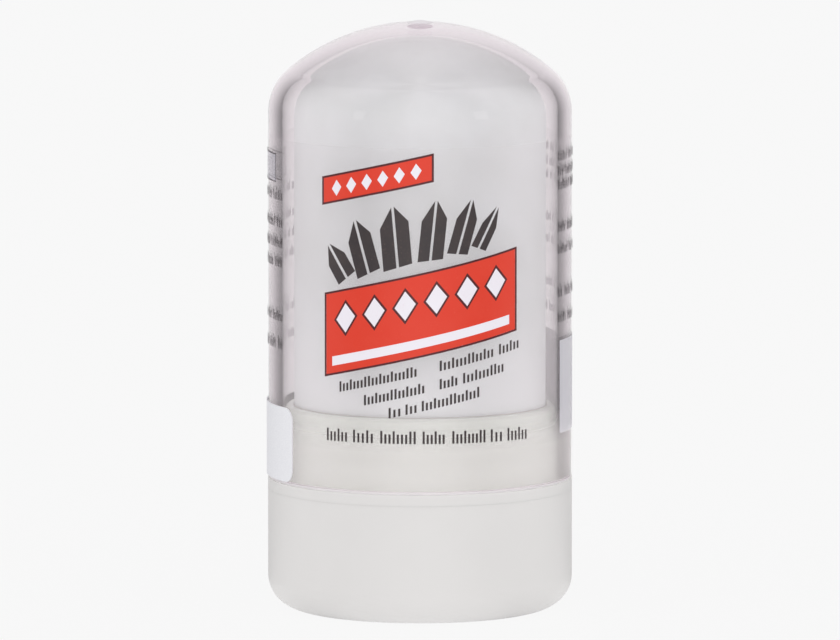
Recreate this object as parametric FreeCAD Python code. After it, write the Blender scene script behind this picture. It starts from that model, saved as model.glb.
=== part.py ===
import FreeCAD, Part
import itertools
import math
import os

# A crystal deodorant stick: a domed clear cap with a printed film label over a mineral salt stone.
# The stone is glued into a socket, and the socket plugs into a rounded hollow foot.
# Millimetres, +Z up. The origin is the centre of the underside, and the label faces -Y.

Vector = FreeCAD.Vector
origin = Vector(0, 0, 0)
z_axis = Vector(0, 0, 1)

# Foot, the hollow cup at the bottom
body_d = 36.0
foot_h = 14.3
foot_wall = 1.4
foot_floor = 1.5
foot_corner_r = 3.9
rest_ring_w = 1.6
recess_depth = 0.5
foot_lead_in = 0.3
seam_round = 0.06

# Socket that holds the stone: a plug below, a flange at the seam and a neck above
flange_t = 1.3
plug_len = 5.0
plug_wall = 1.1
plug_gap = 0.05
snap_drop = 3.0
snap_h = 1.0
snap_proud = 0.25
snap_gap = 0.05
neck_h = 8.8
neck_wall = 1.05
neck_gap = 0.25
bead_gap = 0.07
bead_rise = 3.4
bead_h = 1.3
groove_drop = 1.2
groove_h = 0.7
groove_depth = 0.1
rim_chamfer = 0.5

# Clear cap
film_t = 0.08
cap_wall = 1.62
cap_straight_h = 43.4
dome_rise = 10.54
dome_corner_r = 6.4
lip_round = 0.06
cap_lead_in = 0.2
gate_d = 3.2
gate_h = 0.22
gate_round = 0.12

# Stone, and the adhesive under it
adhesive_t = 0.6
adhesive_edge_gap = 0.8
stone_gap = 0.13
stone_top_gap = 0.15
stone_corner_r = 7.5
stone_rise = 9.77
stone_foot_chamfer = 0.8

# Film label. Places on it are arcs, measured round the cap from the front line, and drops from the film's
# upper edge. The front print climbs to the right, so its drops are those at the front line.
label_foot_gap = 0.3
label_top_gap = 2.6
label_butt_gap = 1.0
ink_t = 0.12
print_slope = 0.224
outline_w = 0.25

# Large red panel under the crystals, with a row of white diamonds and a white line under them
big_left, big_right = -12.0, 12.2
crystal_gap = 1.23
big_tall = 9.9
diamond_count = 6
diamond_wide = 3.1
diamond_tall = 4.3
diamond_top_gap = 1.3
line_t = 1.1
line_foot_gap = 1.1
panel_margin = 1.1

# Small red panel at the top, with a row of small white diamonds
small_left, small_right = -12.36, 1.62
small_middle_drop = 2.58
small_tall = 3.36
small_diamond_count = 6
small_diamond_wide = 1.3
small_diamond_tall = 1.9

# Dark crystal points between the panels: foot arc, width, height and lean in degrees to the left.
# Their feet stand in one line, which drops from the small panel's lower edge.
crystals = [
    (-8.9, 2.5, 5.0, 30.0),
    (-6.1, 2.9, 6.8, 15.0),
    (-2.6, 3.4, 7.3, 5.0),
    (1.2, 3.0, 6.9, -6.0),
    (4.4, 2.6, 6.2, -17.0),
    (7.0, 2.1, 4.9, -31.0),
]
crystal_foot_drop = 9.14
crystal_point_h = 2.2
crystal_facet_gap = 0.3

# Words of small print on the slope: left arc, right arc, and drop from the large panel's lower edge
slanted_words = [
    (-9.9, -0.4, 1.67),
    (2.3, 8.9, 1.67),
    (9.7, 12.5, 1.67),
    (-6.7, 0.5, 3.82),
    (2.3, 4.4, 3.82),
    (5.1, 10.3, 3.82),
    (-3.7, -2.3, 5.92),
    (-1.7, -0.4, 5.92),
    (0.2, 7.1, 5.92),
]
slanted_word_t = 0.9

# The level line of small print under them: left arc and right arc, and one drop from the same edge
level_words = [(-11.7, -8.9), (-8.1, -5.6), (-4.7, -0.5), (0.3, 2.9), (3.8, 7.9), (8.6, 10.1), (10.9, 13.8)]
level_line_drop = 9.62
level_line_t = 1.1

# Rows of small print round both sides, as plain words: drops of the rows, and degrees from the front line
left_row_drops = [6.8, 10.0, 12.4, 14.7, 21.1, 24.4]
right_row_drops = [2.1, 3.9, 5.5, 10.5, 13.1, 18.2, 21.2]
row_t = 0.85
rows_from_deg, rows_to_deg = 64.0, 152.0
word_degs = [9.0, 5.0, 12.0, 7.0, 10.0, 4.0, 8.0]
word_gap_deg = 3.0

# White box low on the right side, and blue field high on the left side
white_box_from_deg, white_box_to_deg = 66.0, 112.0
white_box_top_drop = 23.8
white_box_tall = 11.0
blue_from_deg, blue_to_deg = -98.0, -70.0
blue_top_drop = 1.8
blue_tall = 3.4

# Paper sticker over the lower left of the film
sticker_t = 0.2
sticker_tall = 8.8
sticker_foot_gap = 0.1
sticker_from_deg, sticker_to_deg = -117.0, -56.0
sticker_corner_r = 1.5

# Worked out from the values above
body_r = body_d / 2
cup_bore_r = body_r - foot_wall
plug_r = cup_bore_r - plug_gap
seam_z = foot_h + flange_t
cap_r = body_r - film_t
cap_bore_r = cap_r - cap_wall
neck_r = cap_bore_r - neck_gap
bead_r = cap_bore_r - bead_gap
socket_bore_r = neck_r - neck_wall
rim_z = seam_z + neck_h
cap_spring_z = seam_z + cap_straight_h
stone_r = socket_bore_r - stone_gap
stone_foot_z = seam_z + adhesive_t
stone_apex_z = cap_spring_z + dome_rise - cap_wall - stone_top_gap
stone_spring_z = stone_apex_z - stone_rise
label_r = cap_r + film_t
label_z = seam_z + label_foot_gap
label_h = cap_straight_h - label_foot_gap - label_top_gap
label_top_h = label_foot_gap + label_h
small_middle_h = label_top_h - small_middle_drop
crystal_foot_h = small_middle_h - small_tall / 2 - crystal_foot_drop
big_top_h = crystal_foot_h - crystal_gap
big_middle_h = big_top_h - big_tall / 2
big_foot_h = big_top_h - big_tall
level_line_h = big_foot_h - level_line_drop


class Pen:
    """Draws a closed outline of lines and arcs in the XZ half plane, to be turned about Z."""

    def __init__(self, x, z):
        self.start = Vector(x, 0, z)
        self.at = self.start
        self.edges = []

    def line(self, x, z):
        end = Vector(x, 0, z)
        if self.at.distanceToPoint(end) > 1e-7:
            self.edges.append(Part.LineSegment(self.at, end).toShape())
        self.at = end

    def arc(self, cx, cz, r, from_deg, to_deg):
        points = []
        for deg in (from_deg, (from_deg + to_deg) / 2, to_deg):
            turn = math.radians(deg)
            points.append(Vector(cx + r * math.cos(turn), 0, cz + r * math.sin(turn)))
        self.line(points[0].x, points[0].z)
        self.edges.append(Part.Arc(points[0], points[1], points[2]).toShape())
        self.at = points[2]

    def turned(self, deg=360):
        self.line(self.start.x, self.start.z)
        face = Part.Face(Part.Wire(self.edges))
        return face.revolve(origin, z_axis, deg)


class Dome:
    """A corner arc and a crown arc, tangent to each other, from a side wall up to the axis."""

    def __init__(self, side_r, corner_r, rise, spring_z):
        in_to_corner = side_r - corner_r
        over_corner = rise - corner_r
        below_spring = (in_to_corner**2 - over_corner**2) / (2 * over_corner)
        self.corner_x = in_to_corner
        self.spring_z = spring_z
        self.corner_r = corner_r
        self.crown_r = rise + below_spring
        self.crown_z = spring_z - below_spring
        self.meet_deg = math.degrees(math.atan2(below_spring, in_to_corner))

    def draw_up(self, pen, stop_x=0.0):
        stop_deg = math.degrees(math.acos(stop_x / self.crown_r))
        pen.arc(self.corner_x, self.spring_z, self.corner_r, 0, self.meet_deg)
        pen.arc(0, self.crown_z, self.crown_r, self.meet_deg, stop_deg)

    def draw_down(self, pen, inset):
        pen.arc(0, self.crown_z, self.crown_r - inset, 90, self.meet_deg)
        pen.arc(self.corner_x, self.spring_z, self.corner_r - inset, self.meet_deg, 0)


def foot_cup():
    """A cup with a rounded bottom edge and a shallow recess, so that it stands on a ring."""
    inner_corner_r = foot_corner_r - foot_wall
    recess_r = body_r - foot_corner_r - rest_ring_w
    groove_top = foot_h - snap_drop + snap_gap
    groove_foot = foot_h - snap_drop - snap_h - snap_gap
    groove_r = plug_r + snap_proud + snap_gap
    groove_slope = groove_r - cup_bore_r
    pen = Pen(0, recess_depth)
    pen.line(recess_r - recess_depth, recess_depth)
    pen.line(recess_r, 0)
    pen.arc(body_r - foot_corner_r, foot_corner_r, foot_corner_r, -90, 0)
    pen.arc(body_r - seam_round, foot_h - seam_round, seam_round, 0, 90)
    pen.line(cup_bore_r + foot_lead_in, foot_h)
    pen.line(cup_bore_r, foot_h - foot_lead_in)
    pen.line(cup_bore_r, groove_top)
    pen.line(groove_r, groove_top - groove_slope)
    pen.line(groove_r, groove_foot + groove_slope)
    pen.line(cup_bore_r, groove_foot)
    pen.arc(cup_bore_r - inner_corner_r, foot_floor + inner_corner_r, inner_corner_r, 0, -90)
    pen.line(0, foot_floor)
    return pen.turned()


def stone_socket():
    """One moulding: a plug with a snap ring, a flange that shows at the seam, and the beaded neck."""
    snap_top = foot_h - snap_drop
    snap_foot = snap_top - snap_h
    snap_r = plug_r + snap_proud
    plug_foot = foot_h - plug_len
    bead_foot = seam_z + bead_rise
    bead_top = bead_foot + bead_h
    bead_slope = bead_r - neck_r
    groove_top = rim_z - groove_drop
    groove_foot = groove_top - groove_h
    groove_r = neck_r - groove_depth
    pen = Pen(0, foot_h)
    pen.line(plug_r - plug_wall, foot_h)
    pen.line(plug_r - plug_wall, plug_foot)
    pen.line(plug_r - plug_wall / 2, plug_foot)
    pen.line(plug_r, plug_foot + plug_wall / 2)
    pen.line(plug_r, snap_foot)
    pen.line(snap_r, snap_foot + snap_proud)
    pen.line(snap_r, snap_top - snap_proud)
    pen.line(plug_r, snap_top)
    pen.line(plug_r, foot_h)
    pen.arc(body_r - seam_round, foot_h + seam_round, seam_round, -90, 0)
    pen.arc(body_r - seam_round, seam_z - seam_round, seam_round, 0, 90)
    pen.line(neck_r, seam_z)
    pen.line(neck_r, bead_foot)
    pen.line(bead_r, bead_foot + bead_slope)
    pen.line(bead_r, bead_top - bead_slope)
    pen.line(neck_r, bead_top)
    pen.line(neck_r, groove_foot)
    pen.line(groove_r, groove_foot + groove_depth)
    pen.line(groove_r, groove_top - groove_depth)
    pen.line(neck_r, groove_top)
    pen.line(neck_r, rim_z - rim_chamfer)
    pen.line(neck_r - rim_chamfer, rim_z)
    pen.line(socket_bore_r, rim_z)
    pen.line(socket_bore_r, seam_z)
    pen.line(0, seam_z)
    return pen.turned()


def adhesive_pad():
    """The flat pad of set glue between the socket's floor and the stone."""
    return Part.makeCylinder(stone_r - adhesive_edge_gap, adhesive_t, Vector(0, 0, seam_z))


def crystal_stone():
    """The solid salt stone, a round bar with a domed top that follows the cap."""
    dome = Dome(stone_r, stone_corner_r, stone_rise, stone_spring_z)
    pen = Pen(0, stone_foot_z)
    pen.line(stone_r - stone_foot_chamfer, stone_foot_z)
    pen.line(stone_r, stone_foot_z + stone_foot_chamfer)
    dome.draw_up(pen)
    return pen.turned()


def clear_cap():
    """A domed shell of even wall, open below, with the moulding gate's small disc on its crown."""
    dome = Dome(cap_r, dome_corner_r, dome_rise, cap_spring_z)
    gate_r = gate_d / 2
    apex_z = cap_spring_z + dome_rise
    gate_top = apex_z + gate_h
    pen = Pen(cap_bore_r + cap_lead_in, seam_z)
    pen.arc(cap_r - lip_round, seam_z + lip_round, lip_round, -90, 0)
    dome.draw_up(pen, gate_r)
    pen.arc(gate_r - gate_round, gate_top - gate_round, gate_round, 0, 90)
    pen.line(0, gate_top)
    pen.line(0, apex_z - cap_wall)
    dome.draw_down(pen, cap_wall)
    pen.line(cap_bore_r, seam_z + cap_lead_in)
    return pen.turned()


def tube_sector(inner_r, thickness, low_z, tall, from_deg, to_deg):
    """Part of a thin tube. Degrees run from the front line, -Y, towards +X."""
    pen = Pen(inner_r, low_z)
    pen.line(inner_r + thickness, low_z)
    pen.line(inner_r + thickness, low_z + tall)
    pen.line(inner_r, low_z + tall)
    sector = pen.turned(to_deg - from_deg)
    sector.rotate(origin, z_axis, from_deg - 90)
    return sector


def label_film():
    """The clear film, wrapped once round the cap with a narrow butt gap at the back."""
    end_deg = 180 - math.degrees(label_butt_gap / 2 / cap_r)
    return tube_sector(cap_r, film_t, label_z, label_h, -end_deg, end_deg)


def prism(outline):
    """An outline of (arc, height) points, carried straight out through the front of the label."""
    corners = []
    for arc, height in outline:
        corners.append(Vector(label_r * math.sin(arc / label_r), 0, seam_z + height))
    face = Part.Face(Part.makePolygon(corners + corners[:1]))
    return face.extrude(Vector(0, -body_d, 0))


def thin_ring(thickness):
    """A tube on the film's outside, over the label's height, in which all that lies on it is cut."""
    outer = Part.makeCylinder(label_r + thickness, label_h, Vector(0, 0, label_z))
    return outer.cut(Part.makeCylinder(label_r, label_h, Vector(0, 0, label_z)))


def printed(shapes):
    """What the ink's ring shares with each shape, as one group of separate solids."""
    ring = thin_ring(ink_t)
    solids = []
    for shape in shapes:
        solids.extend(ring.common(shape).Solids)
    return Part.makeCompound(solids)


def on_slope(outline):
    """Lifts each point of an outline by the print's slope."""
    return [(arc, height + print_slope * arc) for arc, height in outline]


def bar(left, right, middle_h, tall):
    """A rectangle's outline."""
    low, high = middle_h - tall / 2, middle_h + tall / 2
    return [(left, low), (right, low), (right, high), (left, high)]


def panel(left, right, middle_h, tall, inset=0.0):
    """A red panel's prism, its outline moved in by the inset."""
    return prism(on_slope(bar(left + inset, right - inset, middle_h, tall - 2 * inset)))


def diamonds(left, right, middle_h, count, wide, tall, inset=0.0):
    """A row of evenly spaced four-pointed marks, each moved in by the inset."""
    pitch = (right - left) / count
    half_wide = wide / 2
    half_tall = tall / 2
    shrink = 1 - inset * math.hypot(half_wide, half_tall) / (half_wide * half_tall)
    row = []
    for n in range(count):
        arc = left + pitch * (n + 0.5)
        outline = [
            (arc, middle_h - half_tall * shrink),
            (arc + half_wide * shrink, middle_h),
            (arc, middle_h + half_tall * shrink),
            (arc - half_wide * shrink, middle_h),
        ]
        row.append(prism(on_slope(outline)))
    return row


def big_diamonds(inset=0.0):
    """The row of diamonds on the large panel."""
    left, right = big_left + panel_margin, big_right - panel_margin
    middle_h = big_top_h - diamond_top_gap - diamond_tall / 2
    return diamonds(left, right, middle_h, diamond_count, diamond_wide, diamond_tall, inset)


def white_marks():
    """The white figures on the two red panels."""
    small_row_left, small_row_right = small_left + panel_margin, small_right - panel_margin
    small_row = diamonds(
        small_row_left,
        small_row_right,
        small_middle_h,
        small_diamond_count,
        small_diamond_wide,
        small_diamond_tall,
    )
    line_h = big_foot_h + line_foot_gap + line_t / 2
    line = prism(on_slope(bar(big_left + panel_margin, big_right - panel_margin, line_h, line_t)))
    return big_diamonds(outline_w) + small_row + [line]


def red_panels(inset=0.0):
    """The two panels, still without the white figures."""
    big = panel(big_left, big_right, big_middle_h, big_tall, inset)
    small = panel(small_left, small_right, small_middle_h, small_tall, inset)
    return [big, small]


def red_fields():
    """The red ink: the panels inside their dark lines, less the figures on them."""
    figures = Part.makeCompound(white_marks() + big_diamonds())
    return [field.cut(figures) for field in red_panels(outline_w)]


def dark_lines():
    """The thin dark line round each red panel and round each large diamond."""
    outer = red_panels() + big_diamonds()
    inner = red_panels(outline_w) + big_diamonds(outline_w)
    return [whole.cut(middle) for whole, middle in zip(outer, inner)]


def crystal_points():
    """A fan of dark crystal points, each split down the middle into two facets."""
    facets = []
    for foot_arc, wide, tall, lean_deg in crystals:
        half, split = wide / 2, crystal_facet_gap / 2
        shoulder = tall - crystal_point_h
        turn = math.radians(lean_deg)
        for side in (-1, 1):
            outline = []
            for across, up in ((split, 0), (half, 0), (half, shoulder), (split, tall)):
                arc = foot_arc + side * across * math.cos(turn) - up * math.sin(turn)
                height = crystal_foot_h + side * across * math.sin(turn) + up * math.cos(turn)
                outline.append((arc, height))
            facets.append(prism(on_slope(outline)))
    return facets


def small_print():
    """The lines of small print on the front, as plain bars."""
    bars = []
    for left, right, drop in slanted_words:
        bars.append(prism(on_slope(bar(left, right, big_foot_h - drop, slanted_word_t))))
    for left, right in level_words:
        bars.append(prism(bar(left, right, level_line_h, level_line_t)))
    return bars


def on_side(from_deg, to_deg, top_drop, tall):
    """A field of ink on the side of the label, its top a drop from the film's upper edge."""
    return tube_sector(label_r, ink_t, seam_z + label_top_h - top_drop - tall, tall, from_deg, to_deg)


def side_print():
    """Rows of small print round each side towards the back, as bars the length of words."""
    words = []
    for side, drops in ((-1, left_row_drops), (1, right_row_drops)):
        for first_word, middle_drop in enumerate(drops):
            lengths = itertools.cycle(word_degs[first_word:] + word_degs[:first_word])
            start, stop = rows_from_deg, rows_from_deg + next(lengths)
            while stop < rows_to_deg:
                from_deg, to_deg = sorted((side * start, side * stop))
                words.append(on_side(from_deg, to_deg, middle_drop - row_t / 2, row_t))
                start = stop + word_gap_deg
                stop = start + next(lengths)
    return Part.makeCompound(words)


def white_box():
    """The white printed box at the lower right of the label."""
    return on_side(white_box_from_deg, white_box_to_deg, white_box_top_drop, white_box_tall)


def blue_field():
    """The small blue field at the upper left of the label."""
    return on_side(blue_from_deg, blue_to_deg, blue_top_drop, blue_tall)


def paper_sticker():
    """A small paper sticker with rounded corners, laid over the film."""
    half_wide = label_r * math.sin(math.radians((sticker_to_deg - sticker_from_deg) / 2))
    corner = Vector(-half_wide, -body_d, label_z + sticker_foot_gap)
    block = Part.makeBox(2 * half_wide, body_d, sticker_tall, corner)
    lengthways = [edge for edge in block.Edges if abs(edge.tangentAt(edge.FirstParameter).y) > 0.99]
    block = block.makeFillet(sticker_corner_r, lengthways)
    block.rotate(origin, z_axis, (sticker_from_deg + sticker_to_deg) / 2)
    return thin_ring(sticker_t).common(block)


pieces = {
    "foot_cup": foot_cup(),
    "stone_socket": stone_socket(),
    "adhesive_pad": adhesive_pad(),
    "crystal_stone": crystal_stone(),
    "clear_cap": clear_cap(),
    "label_film": label_film(),
    "label_red_fields": printed(red_fields()),
    "label_white_marks": printed(white_marks()),
    "label_dark_lines": printed(dark_lines()),
    "label_crystal_points": printed(crystal_points()),
    "label_small_print": printed(small_print()),
    "label_side_print": side_print(),
    "label_white_box": white_box(),
    "label_blue_field": blue_field(),
    "paper_sticker": paper_sticker(),
}

os.makedirs("parts", exist_ok=True)
for name, shape in pieces.items():
    shape.exportStep(f"parts/{name}.step")
    print(name, len(shape.Solids), "solids", round(shape.Volume, 2), "mm3", "valid", shape.isValid())
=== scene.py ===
import itertools
import math

import bpy
import numpy as np
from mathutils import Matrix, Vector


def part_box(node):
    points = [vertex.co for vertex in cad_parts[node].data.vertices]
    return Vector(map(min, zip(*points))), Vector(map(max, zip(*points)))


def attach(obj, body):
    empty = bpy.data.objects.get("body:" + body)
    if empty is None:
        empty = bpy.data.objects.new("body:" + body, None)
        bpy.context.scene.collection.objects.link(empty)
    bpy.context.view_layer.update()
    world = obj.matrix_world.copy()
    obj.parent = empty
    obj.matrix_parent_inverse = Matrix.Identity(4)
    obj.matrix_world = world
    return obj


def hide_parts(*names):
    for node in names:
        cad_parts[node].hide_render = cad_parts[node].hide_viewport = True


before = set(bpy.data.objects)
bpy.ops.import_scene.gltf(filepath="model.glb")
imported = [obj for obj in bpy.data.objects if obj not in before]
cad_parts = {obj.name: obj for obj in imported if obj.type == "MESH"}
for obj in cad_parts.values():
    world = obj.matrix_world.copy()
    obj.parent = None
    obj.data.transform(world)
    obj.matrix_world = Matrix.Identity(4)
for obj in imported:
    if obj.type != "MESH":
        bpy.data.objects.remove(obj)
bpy.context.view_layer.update()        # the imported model: bodies base and cap

mm = 0.001

# places read from the frame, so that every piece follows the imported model
footR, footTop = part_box("foot_cup")[1].x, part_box("foot_cup")[1].z
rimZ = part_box("stone_socket")[1].z
stoneLow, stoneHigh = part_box("crystal_stone")
capLow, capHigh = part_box("clear_cap")
filmLow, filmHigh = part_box("label_film")
seamZ = capLow.z
labelR = filmHigh.x
print("frame read: outer radius %.2f mm, seam at %.2f mm, top at %.2f mm"
      % (footR / mm, seamZ / mm, capHigh.z / mm))


# colours and nodes

def srgb(hexCode):
    # an sRGB hex colour as linear light
    parts = [int(hexCode[i:i + 2], 16) / 255 for i in (1, 3, 5)]
    return [p / 12.92 if p <= 0.04045 else ((p + 0.055) / 1.055) ** 2.4 for p in parts] + [1.0]


def node(tree, kind, sockets=None, **settings):
    # adds one node: settings go on the node itself, and sockets, by name or number, get a value or a link
    made = tree.nodes.new("ShaderNode" + kind)
    for name, value in settings.items():
        setattr(made, name, value)
    for key, value in (sockets or {}).items():
        if isinstance(value, bpy.types.NodeSocket):
            tree.links.new(value, made.inputs[key])
        else:
            made.inputs[key].default_value = value
    return made


def math2(tree, operation, *values):
    return node(tree, "Math", dict(enumerate(values)), operation=operation).outputs[0]


def blendValue(tree, factor, low, high):
    return node(tree, "Mix", {0: factor, 2: low, 3: high}).outputs[0]


def blendColour(tree, factor, low, high):
    return node(tree, "Mix", {0: factor, 6: low, 7: high}, data_type="RGBA").outputs[2]


def noise(tree, sizeMm, detail, roughness, stretch=(1, 1, 1)):
    # a noise whose features are about sizeMm across, fixed to the piece
    place = node(tree, "TexCoord").outputs["Object"]
    scaled = node(tree, "Mapping", {"Vector": place, "Scale": stretch}).outputs[0]
    settings = {"Vector": scaled, "Scale": 1 / (sizeMm * mm), "Detail": detail, "Roughness": roughness}
    return node(tree, "TexNoise", settings).outputs["Fac"]


def upFromFloor(tree):
    place = node(tree, "TexCoord").outputs["Object"]
    return node(tree, "SeparateXYZ", {"Vector": place}).outputs[2]


def spread(tree, value, fromLow, fromHigh, toLow=0.0, toHigh=1.0):
    settings = {"Value": value, "From Min": fromLow, "From Max": fromHigh, "To Min": toLow, "To Max": toHigh}
    return node(tree, "MapRange", settings).outputs[0]


def bump(tree, height, depthMm, strength):
    return node(tree, "Bump", {"Height": height, "Distance": depthMm * mm, "Strength": strength}).outputs[0]


def material(name, build, buildVolume=None):
    made = bpy.data.materials.new(name)
    made.use_nodes = True
    tree = made.node_tree
    tree.nodes.clear()
    output = node(tree, "OutputMaterial", {"Surface": build(tree)})
    if buildVolume:
        tree.links.new(buildVolume(tree), output.inputs["Volume"])
    return made


def plastic(tree, **sockets):
    values = {key.replace("_", " "): value for key, value in sockets.items()}
    return node(tree, "BsdfPrincipled", values).outputs[0]


# materials, each named for the real one

clearPlastic = {
    "tint": "#ffffff",
    "ior": 1.5,
    "roughness": 0.015,
    "depthTint": (1.0, 0.55, 0.8, 1.0),
    "depthPerMetre": 39.0,
    # the haze in the bore: its share, how far down it grows, and how far inside the label's radius it begins
    "milky": "#e6e9e3",
    "rubbed": 0.55,
    "rubbedReach": 4.0 * mm,
    "rubbedInside": 1.0 * mm,
    # the parting edge: its height over the seam, and the share of light that goes through it
    "matt": "#f4f0f3",
    "mattEdge": 0.3 * mm,
    "mattThrough": 0.4,
    "gate": "#f3eef2",
}

# the share of light that each printed layer lets straight through to what is behind it
letThrough = {"ink": 0.9, "thinInk": 0.8, "paper": 0.8}


def thinShadow(tree, shader, share, met="Diffuse Depth"):
    # lets a share of the light straight through to the matt surfaces behind: on the way to a lamp, and for
    # light that has met one of them
    path = node(tree, "LightPath")
    matt = math2(tree, "GREATER_THAN", path.outputs[met], 0.5)
    lighting = math2(tree, "MULTIPLY", math2(tree, "MAXIMUM", path.outputs["Is Shadow Ray"], matt), share)
    through = node(tree, "BsdfTransparent", {"Color": srgb(clearPlastic["tint"])}).outputs[0]
    return node(tree, "MixShader", {0: lighting, 1: shader, 2: through}).outputs[0]


def buildClearPlastic(tree):
    # a glass-clear moulding: sharp reflections, and bent light that darkens the thick edge of the wall. The
    # neck has rubbed its bore to a milky haze that grows from the rim down, and the parting edge is matt,
    # so it takes the white of what lies behind it
    place = node(tree, "TexCoord").outputs["Object"]
    level = node(tree, "VectorMath", {0: place, 1: (1, 1, 0)}, operation="MULTIPLY").outputs[0]
    fromAxis = node(tree, "VectorMath", {0: level}, operation="LENGTH").outputs["Value"]
    inBore = math2(tree, "LESS_THAN", fromAxis, labelR - clearPlastic["rubbedInside"])
    height = upFromFloor(tree)
    ior = clearPlastic["ior"]
    clear = plastic(tree, Base_Color=srgb(clearPlastic["tint"]), Transmission_Weight=1.0, IOR=ior,
                    Roughness=clearPlastic["roughness"])
    milky = plastic(tree, Base_Color=srgb(clearPlastic["milky"]), Roughness=0.5, IOR=ior)
    haze = spread(tree, height, rimZ, rimZ - clearPlastic["rubbedReach"], 0.0, clearPlastic["rubbed"])
    haze = math2(tree, "MULTIPLY", haze, inBore)
    wall = node(tree, "MixShader", {0: haze, 1: clear, 2: milky}).outputs[0]
    fine = noise(tree, 0.1, 2.0, 0.6)
    matt = plastic(tree, Base_Color=srgb(clearPlastic["matt"]), Roughness=0.5, IOR=ior,
                   Transmission_Weight=clearPlastic["mattThrough"], Normal=bump(tree, fine, 0.01, 0.4))
    edge = math2(tree, "LESS_THAN", height, seamZ + clearPlastic["mattEdge"])
    return thinShadow(tree, node(tree, "MixShader", {0: edge, 1: wall, 2: matt}).outputs[0], 1.0)


def buildClearDepth(tree):
    # the faint rose tint that the plastic has where light runs far through it
    return node(tree, "VolumeAbsorption", {"Color": clearPlastic["depthTint"],
                                           "Density": clearPlastic["depthPerMetre"]}).outputs[0]


def buildGate(tree):
    # the broken-off gate, rough and white
    fine = noise(tree, 0.15, 2.0, 0.6)
    return plastic(tree, Base_Color=srgb(clearPlastic["gate"]), Roughness=0.6, IOR=clearPlastic["ior"],
                   Normal=bump(tree, fine, 0.01, 0.4))


stone = {
    "light": "#e0e5e4",
    "deep": "#d9dedc",
    # the whiter colour down at the rim and how far up it reaches: painted light against the shade there
    "low": "#ebefee",
    "paintedLightReach": 12.0 * mm,
    "cloudMm": 9.0,
    "grainMm": 0.5,
}


def buildStone(tree):
    # mineral salt: milky and faintly clouded inside, waxy outside, with a fine water-worn grain
    cloud = spread(tree, noise(tree, stone["cloudMm"], 4.0, 0.55), 0.35, 0.65)
    grain = noise(tree, stone["grainMm"], 3.0, 0.6)
    colour = blendColour(tree, cloud, srgb(stone["deep"]), srgb(stone["light"]))
    # painted light: the colour is a little whiter down at the rim, to lift the shade that falls between stone
    # and neck
    low = spread(tree, upFromFloor(tree), rimZ, rimZ + stone["paintedLightReach"])
    colour = blendColour(tree, low, srgb(stone["low"]), colour)
    return plastic(tree, Base_Color=colour, Roughness=spread(tree, grain, 0.3, 0.7, 0.62, 0.78), IOR=1.4,
                   Subsurface_Weight=0.5, Subsurface_Radius=(1.0, 1.0, 1.0), Subsurface_Scale=1.0 * mm,
                   Normal=bump(tree, grain, 0.03, 0.5))


socketPlastic = {
    "colour": "#e2e9e0",
    # a whiter colour low on the neck: painted light against the corner's shade
    "paintedLightNearSeam": "#eef4ec",
    # the heights over the seam between which the painted light on the wall fades
    "paintedLightFrom": 0.3 * mm,
    "paintedLightTo": 4.0 * mm,
    "roughness": 0.16,
    "flowMm": 3.0,
}


def buildSocketPlastic(tree):
    # natural polypropylene: slightly warm, waxy and a little see-through, with faint flow marks
    flow = noise(tree, socketPlastic["flowMm"], 2.0, 0.5, (1, 1, 0.25))
    rough = socketPlastic["roughness"]
    roughness = spread(tree, flow, 0.3, 0.7, rough - 0.04, rough + 0.05)
    # painted light: the wall is whiter toward the seam, to lift the shade in the corner between neck, flange
    # and cap lip
    paintedLightNearSeam = spread(tree, upFromFloor(tree), seamZ + socketPlastic["paintedLightFrom"],
                   seamZ + socketPlastic["paintedLightTo"])
    colour = blendColour(tree, paintedLightNearSeam, srgb(socketPlastic["paintedLightNearSeam"]), srgb(socketPlastic["colour"]))
    return plastic(tree, Base_Color=colour, Roughness=roughness, IOR=1.49,
                   Subsurface_Weight=0.25, Subsurface_Radius=(1.0, 0.98, 0.95), Subsurface_Scale=0.4 * mm,
                   Normal=bump(tree, flow, 0.05, 0.4))


footPlastic = {
    "colour": "#e0dedd",
    "roughness": 0.42,
    "grainMm": 0.16,
    "hazeMm": 7.0,
}


def buildFootPlastic(tree):
    # frosted polypropylene: soft broad highlights from a fine spark-eroded grain, and light that goes in a
    # little
    grain = noise(tree, footPlastic["grainMm"], 2.0, 0.6)
    haze = spread(tree, noise(tree, footPlastic["hazeMm"], 3.0, 0.5), 0.3, 0.7, 0.985, 1.0)
    colour = node(tree, "Mix", {0: 1.0, 6: srgb(footPlastic["colour"]), 7: haze}, data_type="RGBA",
                  blend_type="MULTIPLY").outputs[2]
    rough = footPlastic["roughness"]
    roughness = spread(tree, grain, 0.3, 0.7, rough - 0.05, rough + 0.06)
    return plastic(tree, Base_Color=colour, Roughness=roughness, IOR=1.49,
                   Subsurface_Weight=0.3, Subsurface_Radius=(1.0, 1.0, 1.0), Subsurface_Scale=0.4 * mm,
                   Normal=bump(tree, grain, 0.012, 0.5))


filmPlastic = {
    "colour": "#e8e2e4",
    "alpha": 0.05,
    "hazeMm": 1.2,
}


def buildFilm(tree):
    # clear label film: almost unseen, with a faint haze that catches the light
    haze = noise(tree, filmPlastic["hazeMm"], 3.0, 0.5)
    return plastic(tree, Base_Color=srgb(filmPlastic["colour"]), IOR=1.49, Alpha=filmPlastic["alpha"],
                   Roughness=spread(tree, haze, 0.3, 0.7, 0.12, 0.2))


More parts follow.
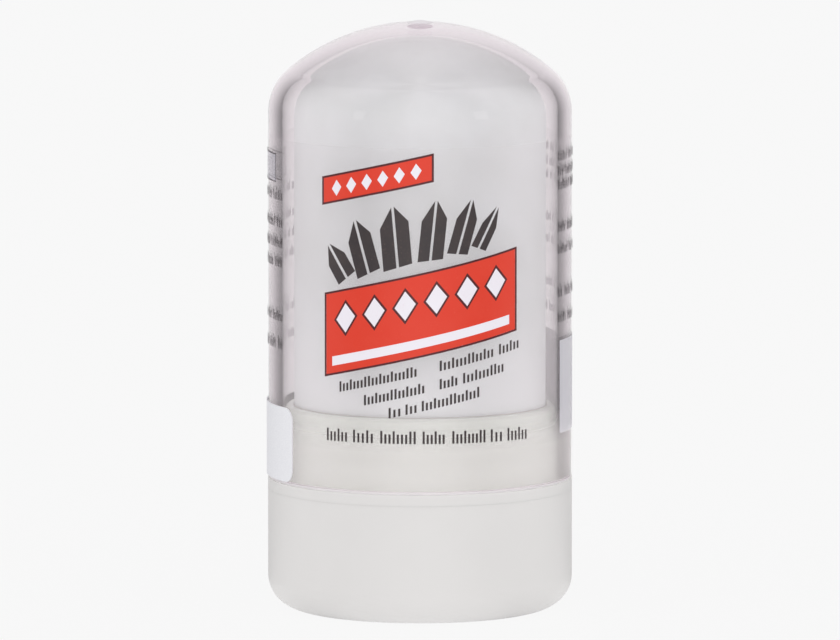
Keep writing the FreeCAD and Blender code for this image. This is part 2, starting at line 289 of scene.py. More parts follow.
def inkMaterial(colour, worn, speckMm, wornShare, roughness):
    # printed ink: an even film with fine specks where the dots of the print show the colour beneath
    def build(tree):
        specks = spread(tree, noise(tree, speckMm, 2.0, 0.7), 0.62, 0.72, 0.0, wornShare)
        tone = spread(tree, noise(tree, speckMm * 9, 2.0, 0.5), 0.3, 0.7, 0.0, 0.12)
        amount = math2(tree, "ADD", specks, tone)
        shown = blendColour(tree, amount, srgb(colour), srgb(worn))
        ink = plastic(tree, Base_Color=shown, Roughness=roughness, IOR=1.5,
                      Normal=bump(tree, specks, 0.004, 0.5))
        return thinShadow(tree, ink, letThrough["ink"])
    return build


paper = {
    "deep": "#e6e6eb",
    "light": "#ededf1",
    "fibreMm": 0.35,
}


def buildPaper(tree):
    # coated sticker paper: white, faintly fibrous, with little gloss, and its shadow is thin
    fibre = noise(tree, paper["fibreMm"], 4.0, 0.6, (1, 1, 3))
    colour = blendColour(tree, spread(tree, fibre, 0.35, 0.65), srgb(paper["deep"]), srgb(paper["light"]))
    face = plastic(tree, Base_Color=colour, Roughness=0.55, IOR=1.45, Normal=bump(tree, fibre, 0.01, 0.4))
    share = letThrough["paper"]
    return thinShadow(tree, thinShadow(tree, face, share), share, "Glossy Depth")


def thinInk(colour, alpha):
    # a thin ground of ink on clear film: it hazes what is behind it and doesn't hide it
    def build(tree):
        specks = noise(tree, 0.2, 2.0, 0.7)
        ink = plastic(tree, Base_Color=srgb(colour), Roughness=0.4, IOR=1.45, Alpha=alpha,
                      Normal=bump(tree, specks, 0.004, 0.4))
        return thinShadow(tree, ink, letThrough["thinInk"])
    return build


setGlue = {
    "deep": "#e8e4d4",
    "light": "#f2efe4",
    # greys for the glue bead at the rim: painted shade for the crevice there
    "shadeDark": "#b9b5b0",
    "shadeLight": "#dcd9d4",
    "cloudMm": 1.5,
}


def buildGlueShade(tree):
    # painted shade: the glue's edge is grey, standing in for the dark crevice between the rim and the stone
    shadeMottle = noise(tree, setGlue["cloudMm"], 3.0, 0.6)
    colour = blendColour(tree, shadeMottle, srgb(setGlue["shadeDark"]), srgb(setGlue["shadeLight"]))
    return plastic(tree, Base_Color=colour, Roughness=0.6, IOR=1.45)


def buildGlue(tree):
    # clear set glue, slightly yellow and cloudy
    cloud = noise(tree, setGlue["cloudMm"], 3.0, 0.5)
    colour = blendColour(tree, cloud, srgb(setGlue["deep"]), srgb(setGlue["light"]))
    return plastic(tree, Base_Color=colour, Roughness=0.25, IOR=1.5, Subsurface_Weight=0.4,
                   Subsurface_Radius=(1.0, 0.95, 0.8), Subsurface_Scale=1.0 * mm)


# a full ink is given by its colour, its worn colour, the size of a speck in mm, the share worn and its
# roughness, and a thin one by its colour and how much it covers
finish = {
    "clear": material("clear_styrenic_plastic", buildClearPlastic, buildClearDepth),
    "gate": material("rough_moulding_gate", buildGate),
    "stone": material("mineral_salt_stone", buildStone),
    "socket": material("natural_polypropylene", buildSocketPlastic),
    "foot": material("frosted_polypropylene", buildFootPlastic),
    "film": material("clear_label_film", buildFilm),
    "red": material("red_printing_ink", inkMaterial("#e0361c", "#e5543e", 0.3, 0.2, 0.34)),
    "white": material("white_printing_ink", inkMaterial("#eeeaf2", "#e8d6de", 0.3, 0.25, 0.35)),
    "dark": material("charcoal_printing_ink", inkMaterial("#3a3335", "#6d5a52", 0.22, 0.5, 0.38)),
    "edge": material("dark_outline_ink", inkMaterial("#54191d", "#7a3a3a", 0.22, 0.3, 0.38)),
    "faded": material("worn_grey_printing_ink", thinInk("#4a4347", 0.62)),
    "thinBlue": material("thin_blue_ink", thinInk("#c6c6d8", 0.12)),
    "thinWhite": material("thin_white_ink", thinInk("#f6f4fc", 0.36)),
    "paper": material("coated_sticker_paper", buildPaper),
    "glue": material("clear_set_glue", buildGlue),
    "glueShade": material("glue_painted_shade", buildGlueShade),
}
print("materials: %d" % len(finish))


# meshes, worked out as whole arrays

sharpDeg = 30        # edges that turn by more than this stay sharp


def meshPiece(name, verts, faces, look, body, slot, *replaced):
    mesh = bpy.data.meshes.new(name)
    mesh.from_pydata(verts.tolist(), [], faces)
    mesh.polygons.foreach_set("use_smooth", np.ones(len(mesh.polygons), bool))
    mesh.set_sharp_from_angle(angle=math.radians(sharpDeg))
    mesh.materials.append(finish[look])
    piece = bpy.data.objects.new(name, mesh)
    bpy.context.scene.collection.objects.link(piece)
    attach(piece, body)
    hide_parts(*replaced)
    return piece


def grained(piece, looks):
    # gives the faces that a test picks by their middles another finish
    count = len(piece.data.polygons)
    middles = np.empty(count * 3)
    piece.data.polygons.foreach_get("center", middles)
    index = np.zeros(count, np.int32)
    for number, (look, chosen) in enumerate(looks.items(), 1):
        piece.data.materials.append(finish[look])
        index[chosen(middles.reshape(-1, 3))] = number
    piece.data.polygons.foreach_set("material_index", index)


def arc(cx, cz, r, fromDeg, toDeg, count):
    # points on a circle about (cx, cz), evenly spaced by angle
    turn = np.radians(np.linspace(fromDeg, toDeg, count))
    return np.column_stack([cx + r * np.cos(turn), cz + r * np.sin(turn)])


guard = {
    "gap": 0.03 * mm,
    "longRun": 0.5 * mm,
}


def withGuards(profile):
    # adds a point close to both ends of each long straight run, so that smooth shading turns only there
    guarded = []
    for start, end in zip(profile[:-1], profile[1:]):
        length = np.linalg.norm(end - start)
        along = (end - start) * guard["gap"] / length
        guarded += [start] if length < guard["longRun"] else [start, start + along, end - along]
    return np.vstack(guarded + [profile[-1]])


def turned(name, profile, look, body, slot, *replaced, around=384, carve=None):
    # an outline of (radius, height) points that starts and ends on the axis, turned once round it: point
    # (i, j) = (radius_i sin turn_j, -radius_i cos turn_j, height_i), and the two axis points are single
    # ones
    profile = np.vstack(profile)
    profile = withGuards(profile[np.r_[True, np.linalg.norm(np.diff(profile, axis=0), axis=1) > 1e-8]])
    signed = np.sum(profile[:-1, 0] * profile[1:, 1] - profile[1:, 0] * profile[:-1, 1])
    if signed < 0:
        profile = profile[::-1]        # so that the faces look outwards
    turn = np.linspace(0, 2 * math.pi, around, endpoint=False)
    radius, height = profile[1:-1, :1], profile[1:-1, 1:]
    flat = np.ones_like(turn)
    grid = np.stack([radius * np.sin(turn), -radius * np.cos(turn), height * flat], axis=-1).reshape(-1, 3)
    poles = np.array([[0, 0, profile[0, 1]], [0, 0, profile[-1, 1]]])
    verts = np.vstack([grid, poles])
    if carve:
        verts = carve(verts)
    count = len(radius)
    index = np.arange(count * around).reshape(count, around)
    after = np.roll(index, -1, axis=1)
    quads = np.stack([index[:-1], after[:-1], after[1:], index[1:]], axis=-1).reshape(-1, 4)
    first, last = count * around, count * around + 1
    fans = np.vstack([np.column_stack([np.full(around, first), after[0], index[0]]),
                      np.column_stack([np.full(around, last), index[-1], after[-1]])])
    return meshPiece(name, verts, quads.tolist() + fans.tolist(), look, body, slot, *replaced)


domePoints = {"crown": 110, "corner": 28}


def dome(sideR, cornerR, rise, springZ, inset=0.0):
    # from the axis out and down: a crown arc, then a corner arc tangent to it and to the side wall
    inward, over = sideR - cornerR, rise - cornerR
    below = (inward ** 2 - over ** 2) / (2 * over)
    meetDeg = math.degrees(math.atan2(below, inward))
    crown = arc(0, springZ - below, rise + below - inset, 90, meetDeg, domePoints["crown"])
    return np.vstack([crown, arc(inward, springZ, cornerR - inset, meetDeg, 0, domePoints["corner"])[1:]])


# foot

foot = {
    "cornerR": 3.9 * mm,
    "wall": 1.4 * mm,
    "floorT": 1.5 * mm,
    "recess": 0.5 * mm,
    "ringW": 1.6 * mm,
    "lipSoft": 0.3 * mm,
    "seamRound": 0.01 * mm,
}


def footCup():
    # outside: the recess, the ring that it stands on, the rounded edge, the wall and the soft lip; then the
    # hollow
    corner, wall = foot["cornerR"], foot["wall"]
    soft, lip = foot["seamRound"], foot["lipSoft"]
    inner = corner - wall
    recessR = footR - corner - foot["ringW"]
    return turned("foot_cup_frosted", [
        [(0, foot["recess"]), (recessR - foot["recess"], foot["recess"]), (recessR, 0)],
        arc(footR - corner, corner, corner, -90, 0, 32),
        arc(footR - soft, footTop - soft, soft, 0, 90, 8),
        [(footR - wall + lip, footTop), (footR - wall, footTop - lip)],
        arc(footR - wall - inner, foot["floorT"] + inner, inner, 0, -90, 16),
        [(0, foot["floorT"])],
    ], "foot", "base", "frosted_plastic", "foot_cup")


# socket: plug, flange and neck

socket = {
    "plugLen": 5.0 * mm,
    "plugWall": 1.1 * mm,
    "plugGap": 0.05 * mm,
    "seamRound": 0.01 * mm,
    "boreR": 15.0 * mm,
    "neckR": 16.05 * mm,
    "beadR": 16.23 * mm,
    "beadRise": 3.4 * mm,
    "beadH": 1.3 * mm,
    "grooveDrop": 1.2 * mm,
    "grooveH": 0.7 * mm,
    "grooveDepth": 0.1 * mm,
    "rimRound": 0.5 * mm,
    "glueBeadR": 0.06 * mm,
    "glueAround": 320,
    "glueSection": 10,
}


def stoneSocket():
    # from the underside of the floor round the plug, the flange's two soft edges, the neck with its bead and
    # groove, over the rim and down the bore. With t from 0 to 1 up the bead or the groove, its outline stands
    # sin(pi t) of its depth off the neck
    plugR = footR - foot["wall"] - socket["plugGap"]
    innerPlugR = plugR - socket["plugWall"]
    soft = socket["seamRound"]
    neckR, beadR = socket["neckR"], socket["beadR"]
    beadFoot = seamZ + socket["beadRise"]
    beadTop = beadFoot + socket["beadH"]
    grooveTop = rimZ - socket["grooveDrop"]
    grooveFoot = grooveTop - socket["grooveH"]
    rim = socket["rimRound"]
    t = np.linspace(0, 1, 15)
    bead = np.column_stack([neckR + (beadR - neckR) * np.sin(math.pi * t),
                            beadFoot + (beadTop - beadFoot) * t])
    groove = np.column_stack([neckR - socket["grooveDepth"] * np.sin(math.pi * t),
                              grooveFoot + (grooveTop - grooveFoot) * t])
    piece = turned("stone_socket_natural", [
        [(0, footTop), (innerPlugR, footTop), (innerPlugR, footTop - socket["plugLen"])],
        [(plugR, footTop - socket["plugLen"]), (plugR, footTop)],
        arc(footR - soft, footTop + soft, soft, -90, 0, 8),
        arc(footR - soft, seamZ - soft, soft, 0, 90, 8),
        [(neckR, seamZ)],
        bead,
        groove,
        arc(neckR - rim, rimZ - rim, rim, 0, 90, 8),
        [(socket["boreR"], rimZ), (socket["boreR"], seamZ), (0, seamZ)],
    ], "socket", "base", "natural_plastic", "stone_socket")
    # the flange's edge, which shows outside, is grained like the foot
    grained(piece, {"foot": lambda middles: (middles[:, 2] < seamZ) & (middles[:, 2] > footTop)})


def glueShadeLine():
    # the fine bead of glue all round between the rim and the stone, a ring of round section, coloured grey as
    # painted shade for the crevice there
    fine = socket["glueBeadR"]
    middleR = (socket["boreR"] + stoneHigh.x) / 2
    rings, points = socket["glueAround"], socket["glueSection"]
    turn = np.linspace(0, 2 * math.pi, rings, endpoint=False)[:, None]
    section = np.linspace(0, 2 * math.pi, points, endpoint=False)[None, :]
    radius = middleR + fine * np.cos(section)
    height = rimZ + fine * np.sin(section) * np.ones_like(turn)
    verts = np.stack([radius * np.sin(turn), -radius * np.cos(turn), height], axis=-1).reshape(-1, 3)
    index = np.arange(rings * points).reshape(rings, points)
    along, across = np.roll(index, -1, axis=0), np.roll(index, -1, axis=1)
    both = np.roll(along, -1, axis=1)
    faces = np.stack([index, along, both, across], axis=-1).reshape(-1, 4)
    meshPiece("glue_shade_line", verts, faces.tolist(), "glueShade", "base", "adhesive")


# stone

stoneShape = {
    "cornerR": 7.5 * mm,
    "rise": 9.77 * mm,
    "footChamfer": 0.8 * mm,
    "sideRings": 40,
    "facets": 130,
    "facetDepth": 0.11 * mm,
    "seed": 11,
}


def facetStone(verts):
    # flat facets from the grinding: each is a plane just under the surface, and what stands over it is
    # moved back along the plane's normal
    rng = np.random.default_rng(stoneShape["seed"])
    corner = stoneShape["cornerR"]
    ringR = stoneHigh.x - corner
    springZ = stoneHigh.z - stoneShape["rise"]
    for n in range(stoneShape["facets"]):
        turn = (n * 137.5 + rng.uniform(-12, 12)) * math.pi / 180
        lift = math.radians(rng.uniform(4, 62))
        depth = stoneShape["facetDepth"] * rng.uniform(0.35, 1.0)
        outward = np.array([math.sin(turn), -math.cos(turn), 0])
        normal = outward * math.cos(lift) + np.array([0, 0, math.sin(lift)])
        touch = outward * ringR + np.array([0, 0, springZ]) + normal * (corner - depth)
        over = np.maximum((verts - touch) @ normal, 0)
        verts = verts - over[:, None] * normal
    return verts


def crystalStone():
    # a round bar with a chamfered foot and a dome, its rings close together where the facets are
    stoneR = stoneHigh.x
    springZ = stoneHigh.z - stoneShape["rise"]
    side = np.linspace(springZ, stoneLow.z + stoneShape["footChamfer"], stoneShape["sideRings"])
    return turned("crystal_stone_ground", [
        dome(stoneR, stoneShape["cornerR"], stoneShape["rise"], springZ),
        np.column_stack([np.full(len(side), stoneR), side]),
        [(stoneR - stoneShape["footChamfer"], stoneLow.z), (0, stoneLow.z)],
    ], "stone", "base", "salt_stone", "crystal_stone", around=320, carve=facetStone)


# cap

cap = {
    "wall": 1.62 * mm,
    "rise": 10.54 * mm,
    "cornerR": 6.4 * mm,
    "lipRound": 0.06 * mm,
    "leadIn": 0.2 * mm,
    "gateR": 1.6 * mm,
    "gateH": 0.22 * mm,
    "gateDrop": 0.1 * mm,
}


def clearCap():
    # inside down from the crown, round the lip, and up the outside to the gate, a low soft mound of height
    # (1 + cos(pi r / R)) / 2 over the crown
    capR = capHigh.x
    boreR = capR - cap["wall"]
    apexZ = capHigh.z - cap["gateH"]
    springZ = apexZ - cap["rise"]
    lip = cap["lipRound"]
    inner = dome(capR, cap["cornerR"], cap["rise"], springZ, cap["wall"])
    outer = dome(capR, cap["cornerR"], cap["rise"], springZ)[::-1]
    outer[:, 1] += cap["gateH"] * (1 + np.cos(math.pi * np.clip(outer[:, 0] / cap["gateR"], 0, 1))) / 2
    shell = turned("clear_cap_moulded", [
        inner,
        [(boreR, seamZ + cap["leadIn"]), (boreR + cap["leadIn"], seamZ)],
        arc(capR - lip, seamZ + lip, lip, -90, 0, 10),
        outer,
    ], "clear", "cap", "clear_plastic", "clear_cap")
    # the broken-off gate is rough down to where the crown falls away from it
    grained(shell, {
        "gate": lambda middles: (middles[:, 2] > apexZ - cap["gateDrop"])
        & (np.hypot(middles[:, 0], middles[:, 1]) < cap["gateR"]),
    })


# film label and its print

film = {
    "buttGapDeg": 3.2,
    "capGap": 0.004 * mm,
    "columns": 361,
    "inkT": 0.008 * mm,
    "slope": 0.224,
    "columnMm": 0.4,
}


def onLabel(arcs, heights, radius):
    # a place on the label: an arc measured round it from the front line, and a height
    turn = arcs / labelR
    return np.stack([radius * np.sin(turn), -radius * np.cos(turn), heights], axis=-1)


def leaf(arcs, heights, innerR, thickness):
    # a thin closed sheet on a cylinder: the same grid of arcs and heights on an outer and an inner radius,
    # and a strip of faces round its edge
    rows, cols = arcs.shape
    outer = onLabel(arcs, heights, innerR + thickness).reshape(-1, 3)
    inner = onLabel(arcs, heights, innerR).reshape(-1, 3)
    index = np.arange(rows * cols).reshape(rows, cols)
    front = np.stack([index[:-1, :-1], index[:-1, 1:], index[1:, 1:], index[1:, :-1]], axis=-1).reshape(-1, 4)
    rim = np.concatenate([index[0, :-1], index[:-1, -1], index[-1, :0:-1], index[:0:-1, 0]])
    ahead = np.roll(rim, -1)
    edge = np.stack([rim, rim + rows * cols, ahead + rows * cols, ahead], axis=-1)
    return np.vstack([outer, inner]), np.vstack([front, front[:, ::-1] + rows * cols, edge])


def printed(name, quads, layer, look, slot, *replaced):
    # all patches of one ink in one mesh: each is the bilinear grid between its four corners of (arc, height
    # over the seam) in mm, anticlockwise from the lower left, on the radius of its layer
    verts, faces, start = [], [], 0
    innerR = labelR + (1 + 2 * layer) * film["inkT"]
    for corners in quads:
        a, b, c, d = np.array(corners, float)
        cols = 2 + int(np.ptp([a[0], b[0], c[0], d[0]]) / film["columnMm"])
        u = np.linspace(0, 1, cols)[None, :, None]
        v = np.linspace(0, 1, 3)[:, None, None]
        flat = a * (1 - u) * (1 - v) + b * u * (1 - v) + c * u * v + d * (1 - u) * v
        patch, sides = leaf(flat[..., 0] * mm, flat[..., 1] * mm + seamZ, innerR, film["inkT"])
        verts.append(patch)
        faces.append(sides + start)
        start += len(patch)
    return meshPiece(name, np.vstack(verts), np.vstack(faces).tolist(), look, "cap", slot, *replaced)


def sloped(corners):
    # lifts each corner by the print's slope
    return [(a, h + film["slope"] * a) for a, h in corners]


def bar(left, right, middle, tall):
    low, high = middle - tall / 2, middle + tall / 2
    return [(left, low), (right, low), (right, high), (left, high)]


def between(outer, inner):
    # the four strips between an outline and the smaller one inside it
    return [[outer[n], outer[(n + 1) % 4], inner[(n + 1) % 4], inner[n]] for n in range(4)]


def diamond(middleArc, middle, wide, tall, inset=0.0):
    # a four-pointed mark whose sides are moved in by the inset
    halfW, halfT = wide / 2, tall / 2
    shrink = 1 - inset * math.hypot(halfW, halfT) / (halfW * halfT)
    halfW, halfT = halfW * shrink, halfT * shrink
    return [(middleArc, middle - halfT), (middleArc + halfW, middle), (middleArc, middle + halfT),
            (middleArc - halfW, middle)]


def diamondRow(panel, inset=0.0):
    # evenly spaced marks over the panel's width, less its margins
    left, right = panel["left"] + panel["margin"], panel["right"] - panel["margin"]
    pitch = (right - left) / panel["count"]
    middles = [left + pitch * (n + 0.5) for n in range(panel["count"])]
    return [sloped(diamond(m, panel["rowMiddle"], panel["markW"], panel["markT"], inset)) for m in middles]


bigPanel = {"left": -12.0, "right": 12.2, "middle": 21.22, "tall": 9.9, "margin": 1.1, "outline": 0.25,
            "count": 6, "markW": 3.1, "markT": 4.3, "rowMiddle": 22.72}
smallPanel = {"left": -12.36, "right": 1.62, "middle": 38.22, "tall": 3.36, "margin": 1.1, "outline": 0.25,
              "count": 6, "markW": 1.3, "markT": 1.9, "rowMiddle": 38.22}
whiteLine = {"middle": 17.92, "tall": 1.1}
crystals = {
    "footH": 27.4,
    "pointH": 2.2,
    "facetGap": 0.3,
    # foot arc, width, height and lean in degrees to the left
    "points": [(-8.9, 2.5, 5.0, 30), (-6.1, 2.9, 6.8, 15), (-2.6, 3.4, 7.3, 5), (1.2, 3.0, 6.9, -6),
               (4.4, 2.6, 6.2, -17), (7.0, 2.1, 4.9, -31)],
}


def panelOutlines():
    quads = []
    for panel in (bigPanel, smallPanel):
        left, right, middle, tall, line = (panel[k] for k in ("left", "right", "middle", "tall", "outline"))
        quads += between(sloped(bar(left, right, middle, tall)),
                         sloped(bar(left + line, right - line, middle, tall - 2 * line)))
    return quads


def panelFields():
    quads = []
    for panel in (bigPanel, smallPanel):
        line = panel["outline"]
        quads.append(sloped(bar(panel["left"] + line, panel["right"] - line, panel["middle"],
                                panel["tall"] - 2 * line)))
    return quads


def crystalFan():
    # each crystal is two facets side by side, turned by its lean about its foot
    quads = []
    for footArc, wide, tall, lean in crystals["points"]:
        half, split = wide / 2, crystals["facetGap"] / 2
        turn = math.radians(lean)
        for side in (-1, 1):
            outline = [(split, 0), (half, 0), (half, tall - crystals["pointH"]), (split, tall)][::side]
            quads.append(sloped([(footArc + side * across * math.cos(turn) - up * math.sin(turn),
                                  crystals["footH"] + side * across * math.sin(turn) + up * math.cos(turn))
                                 for across, up in outline]))
    return quads


smallPrint = {
    # left arc, right arc and middle height of each group of strokes
    "slanted": [(-9.9, -0.4, 14.6), (2.3, 8.9, 14.6), (9.7, 12.5, 14.6), (-6.7, 0.5, 12.45),
                (2.3, 4.4, 12.45), (5.1, 10.3, 12.45), (-3.7, -2.3, 10.35), (-1.7, -0.4, 10.35),
                (0.2, 7.1, 10.35)],
    "slantedT": 0.9,
    "level": [(-11.7, -8.9), (-8.1, -5.6), (-4.7, -0.5), (0.3, 2.9), (3.8, 7.9), (8.6, 10.1), (10.9, 13.8)],
    "levelH": 6.65,
    "levelT": 1.1,
    "strokeW": 0.26,
    "strokePitch": 0.46,
    # how far each stroke in turn stands over the line of small ones, as shares of its height
    "strokeRise": [0.35, 0, 0, 0.35, 0, 0, 0, 0.35, 0.35, 0, 0],
    "leftRows": [34.0, 30.8, 28.4, 26.1, 19.7, 16.4],
    "rightRows": [38.7, 36.9, 35.3, 30.3, 27.7, 22.6, 19.6],
    "rowT": 0.85,
    "rowsFromDeg": 64.0,
    "rowsToDeg": 152.0,
    "groupDegs": [9.0, 5.0, 12.0, 7.0, 10.0, 4.0, 8.0],
    "groupGapDeg": 3.0,
}


def strokes(left, right, middle, tall):
    # small print as a row of plain equal strokes, as many as fit the width
    count = max(2, round((right - left) / smallPrint["strokePitch"]))
    half = smallPrint["strokeW"] / 2
    places = np.linspace(left + half, right - half, count)
    return [bar(m - half, m + half, middle + tall * rise / 2, tall * (1 + rise))
            for m, rise in zip(places, itertools.cycle(smallPrint["strokeRise"]))]


def frontPrint():
    quads = []
    for left, right, middle in smallPrint["slanted"]:
        quads += [sloped(quad) for quad in strokes(left, right, middle, smallPrint["slantedT"])]
    for left, right in smallPrint["level"]:
        quads += strokes(left, right, smallPrint["levelH"], smallPrint["levelT"])
    return quads


def degArc(deg):
    return math.radians(deg) * labelR / mm


def sidePrint():
    # rows of grouped strokes round both sides, each row starting at another group's length
    quads = []
    for side, rows in ((-1, smallPrint["leftRows"]), (1, smallPrint["rightRows"])):
        for first, middle in enumerate(rows):
            groups = smallPrint["groupDegs"]
            lengths = itertools.cycle(groups[first:] + groups[:first])
            start, stop = smallPrint["rowsFromDeg"], smallPrint["rowsFromDeg"] + next(lengths)
            while stop < smallPrint["rowsToDeg"]:
                left, right = sorted((degArc(side * start), degArc(side * stop)))
                quads += strokes(left, right, middle, smallPrint["rowT"])
                start = stop + smallPrint["groupGapDeg"]
                stop = start + next(lengths)
    return quads


def sideField(fromDeg, toDeg, footH, tall):
    return bar(degArc(fromDeg), degArc(toDeg), footH + tall / 2, tall)


# fields at the sides: from and to in degrees, then the foot's height over the seam and the tallness in mm
whiteBox = (66.0, 112.0, 6.0, 11.0)
blueField = (-98.0, -70.0, 35.6, 3.4)
blueInside = (-97.5, -70.5, 35.75, 3.1)


def labelFilm():
    endArc = labelR * math.radians(180 - film["buttGapDeg"] / 2)
    arcs, heights = np.meshgrid(np.linspace(-endArc, endArc, film["columns"]),
                                np.linspace(filmLow.z, filmHigh.z, 3))
    innerR = capHigh.x + film["capGap"]
    verts, faces = leaf(arcs, heights, innerR, labelR - innerR)
    return meshPiece("label_film_clear", verts, faces.tolist(), "film", "cap", "clear_film", "label_film")


def labelPrint():
    printed("label_red_panels", panelFields(), 0, "red", "red_ink", "label_red_fields")
    outlines = panelOutlines()
    for outer, inner in zip(diamondRow(bigPanel), diamondRow(bigPanel, bigPanel["outline"])):
        outlines += between(outer, inner)
    printed("label_dark_outlines", outlines, 1, "edge", "dark_ink", "label_dark_lines")
    white = diamondRow(bigPanel, bigPanel["outline"]) + diamondRow(smallPanel)
    margin = bigPanel["margin"]
    line = bar(bigPanel["left"] + margin, bigPanel["right"] - margin, whiteLine["middle"], whiteLine["tall"])
    printed("label_white_figures", white + [sloped(line)], 1, "white", "white_ink", "label_white_marks")
    printed("label_crystal_fan", crystalFan(), 0, "dark", "dark_ink", "label_crystal_points")
    printed("label_front_words", frontPrint(), 0, "dark", "dark_ink", "label_small_print")
    printed("label_side_words", sidePrint(), 0, "faded", "dark_ink", "label_side_print")
    printed("label_white_field", [sideField(*whiteBox)], 0, "thinWhite", "white_ink", "label_white_box")
    printed("label_blue_mark", [sideField(*blueField)], 0, "thinBlue", "blue_ink", "label_blue_field")
    blueLine = between(sideField(*blueField), sideField(*blueInside))
    printed("label_blue_outline", blueLine, 1, "faded", "dark_ink")


# sticker

sticker = {
    "fromDeg": -117.0,
    "toDeg": -56.0,
    "footGap": 0.1 * mm,
    "tall": 8.8 * mm,
    "cornerR": 1.5 * mm,
    "thickness": 0.11 * mm,
    "overInks": 5,        # it lies this many thicknesses of ink above the film
    "cornerPoints": 12,
    "widthPoints": 60,
    "rows": 12,
}


def paperSticker():
    # a rounded rectangle as a stretched grid: across the width u, the height is cut at each corner by the
    # corner's circle, so every column runs from its own lower to its own upper edge
    left, right = math.radians(sticker["fromDeg"]) * labelR, math.radians(sticker["toDeg"]) * labelR
    low = filmLow.z + sticker["footGap"]
    r = sticker["cornerR"]
    ends = r * (1 - np.cos(np.linspace(0, math.pi / 2, sticker["cornerPoints"])))
    straight = np.linspace(left + r, right - r, sticker["widthPoints"])[1:-1]
    across = np.concatenate([left + ends, straight, (right - ends)[::-1]])
    fromEnd = np.minimum(np.minimum(across - left, right - across), r)
    cut = r - np.sqrt(np.maximum(r ** 2 - (r - fromEnd) ** 2, 0))
    up = np.linspace(0, 1, sticker["rows"])[:, None]
    heights = low + cut + (sticker["tall"] - 2 * cut) * up
    arcs = across[None, :] * np.ones_like(up)
    verts, faces = leaf(arcs, heights, labelR + sticker["overInks"] * film["inkT"], sticker["thickness"])
    piece = meshPiece("paper_sticker_blank", verts, faces.tolist(), "paper", "cap", "sticker_paper",
                      "paper_sticker")
    # the underside is the clear glue, so the paper is one layer to the light
    piece.data.materials.append(finish["film"])
    count = (arcs.shape[0] - 1) * (arcs.shape[1] - 1)
    under = np.zeros(len(faces), np.int32)
    under[count:2 * count] = 1
    piece.data.polygons.foreach_set("material_index", under)


footCup()
stoneSocket()
glueShadeLine()
crystalStone()
print("base: foot, socket and stone")
clearCap()
labelFilm()
labelPrint()
paperSticker()
print("cap: moulding, film, print and sticker")

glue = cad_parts["adhesive_pad"]
glue.data.materials.clear()
glue.data.materials.append(finish["glue"])


# studio

studio = {
    "white": "#f9f9f9",
    "corner": 0.2,
    "cornerPower": 1.3,
    # the ceiling's level, and the upward parts of a direction between which it comes in
    "ceiling": 0.8,
    "ceilingRange": (0.05, 0.6),
    # levels of the light that meets matt surfaces, and the backward parts of a direction that they lie
    # between
    "ambientFront": 1.32,
    "ambientBack": 0.8,
    "ambientRange": (-0.9, 0.2),
    "ambientTop": 0.88,
    "shadowShare": 0.07,
    "floorGlow": 1.0,
    "floorR": 5.0,
    "floorSides": 96,
    "lampAimZ": 0.035,
}
softboxes = {
    "softbox_left": {"azimuthDeg": -51, "elevationDeg": 15, "distance": 1.5, "width": 0.25, "height": 0.5,
                     "radiance": 0.94},
    "softbox_right": {"azimuthDeg": 51, "elevationDeg": 15, "distance": 1.5, "width": 0.3, "height": 0.5,
                      "radiance": 0.94},
}


def surroundings(tree, direction):
    # what plastic reflects and bends: white to the front, back and sides, darker between them. With c the
    # cosine of the direction's turn from the front, the white's share is |2 c^2 - 1| ^ cornerPower
    parts = node(tree, "SeparateXYZ", {0: direction})
    x2 = math2(tree, "MULTIPLY", parts.outputs[0], parts.outputs[0])
    y2 = math2(tree, "MULTIPLY", parts.outputs[1], parts.outputs[1])
    c2 = math2(tree, "DIVIDE", y2, math2(tree, "ADD", x2, y2))
    share = math2(tree, "ABSOLUTE", math2(tree, "MULTIPLY_ADD", c2, 2.0, -1.0))
    share = math2(tree, "POWER", share, studio["cornerPower"])
    return spread(tree, share, 0, 1, studio["corner"], 1.0)


def sharpRay(tree, path):
    # 1 for what is seen by reflection or through clear plastic, 0 for light that has met a matt surface
    bent = math2(tree, "MAXIMUM", path.outputs["Is Glossy Ray"], path.outputs["Is Transmission Ray"])
    return math2(tree, "MULTIPLY", bent, math2(tree, "LESS_THAN", path.outputs["Diffuse Depth"], 0.5))


def studioWorld():
    world = bpy.data.worlds.new("white_studio")
    world.use_nodes = True
    tree = world.node_tree
    tree.nodes.clear()
    path = node(tree, "LightPath")
    direction = node(tree, "TexCoord").outputs["Generated"]
    parts = node(tree, "SeparateXYZ", {0: direction})
    backward, upward = parts.outputs[1], parts.outputs[2]
    above = spread(tree, upward, *studio["ceilingRange"], 1.0, studio["ceiling"])
    around = math2(tree, "MULTIPLY", surroundings(tree, direction), above)
    ambient = spread(tree, backward, *studio["ambientRange"], studio["ambientFront"], studio["ambientBack"])
    overhead = spread(tree, upward, 0.0, 1.0, 1.0, studio["ambientTop"])
    ambient = math2(tree, "MULTIPLY", ambient, overhead)
    level = blendValue(tree, sharpRay(tree, path), ambient, around)
    level = blendValue(tree, path.outputs["Is Camera Ray"], level, 1.0)
    light = node(tree, "Background", {"Color": srgb(studio["white"]), "Strength": level})
    node(tree, "OutputWorld", {"Surface": light.outputs[0]})
    bpy.context.scene.world = world


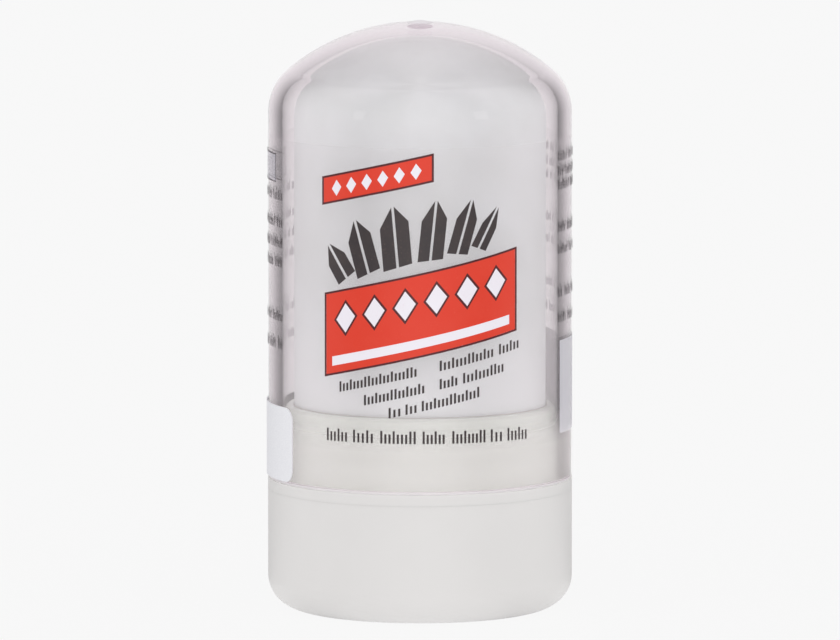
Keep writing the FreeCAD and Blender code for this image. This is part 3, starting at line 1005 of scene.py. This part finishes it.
def buildFloor(tree):
    # matt white paper: it takes the object's soft shadow, and glows as far as a lit studio sweep would
    path = node(tree, "LightPath")
    bent = sharpRay(tree, path)
    around = surroundings(tree, node(tree, "TexCoord").outputs["Object"])
    level = blendValue(tree, bent, 1.0, around)
    glow = node(tree, "Emission", {"Color": srgb(studio["white"]), "Strength": level}).outputs[0]
    matt = node(tree, "BsdfDiffuse", {"Color": srgb(studio["white"])}).outputs[0]
    seen = blendValue(tree, path.outputs["Is Camera Ray"], studio["floorGlow"], 1 - studio["shadowShare"])
    seen = math2(tree, "MAXIMUM", seen, bent)
    return node(tree, "MixShader", {0: seen, 1: matt, 2: glow}).outputs[0]


def studioFloor():
    sides = studio["floorSides"]
    turn = np.linspace(0, 2 * math.pi, sides, endpoint=False)
    verts = np.column_stack([np.cos(turn), np.sin(turn), np.zeros(sides)]) * studio["floorR"]
    mesh = bpy.data.meshes.new("studio_floor")
    mesh.from_pydata(verts.tolist(), [], [list(range(sides))])
    mesh.materials.append(material("white_paper_sweep", buildFloor))
    floor = bpy.data.objects.new("studio_floor", mesh)
    bpy.context.scene.collection.objects.link(floor)


def softbox(name, azimuthDeg, elevationDeg, distance, width, height, radiance):
    # a rectangular lamp that faces the middle of the object
    data = bpy.data.lights.new(name, "AREA")
    data.shape = "RECTANGLE"
    data.size, data.size_y = width, height
    data.energy = radiance * math.pi * width * height
    lamp = bpy.data.objects.new(name, data)
    a, e = math.radians(azimuthDeg), math.radians(elevationDeg)
    lamp.location = (distance * math.sin(a) * math.cos(e), -distance * math.cos(a) * math.cos(e),
                     studio["lampAimZ"] + distance * math.sin(e))
    lamp.rotation_euler = (math.radians(90) - e, 0, a)
    lamp.visible_glossy = False        # the studio around gives the reflections
    bpy.context.scene.collection.objects.link(lamp)


view = {
    "elevationDeg": 6.95,
    "distance": 1.33,
    "targetZ": 0.03412,
    "lens": 481.9,
    "sensor": 36.0,
    "near": 0.05,
}


def photoCamera():
    data = bpy.data.cameras.new("photo_camera")
    data.sensor_width = view["sensor"]
    data.lens = view["lens"]
    data.clip_start = view["near"]
    camera = bpy.data.objects.new("photo_camera", data)
    e = math.radians(view["elevationDeg"])
    camera.location = (0, -view["distance"] * math.cos(e), view["targetZ"] + view["distance"] * math.sin(e))
    camera.rotation_euler = (math.radians(90) - e, 0, 0)
    bpy.context.scene.collection.objects.link(camera)
    bpy.context.scene.camera = camera


studioWorld()
studioFloor()
for name, lamp in softboxes.items():
    softbox(name, **lamp)
photoCamera()
bpy.context.scene.view_settings.view_transform = "Standard"
print("studio: floor, surroundings, %d softboxes and camera" % len(softboxes))
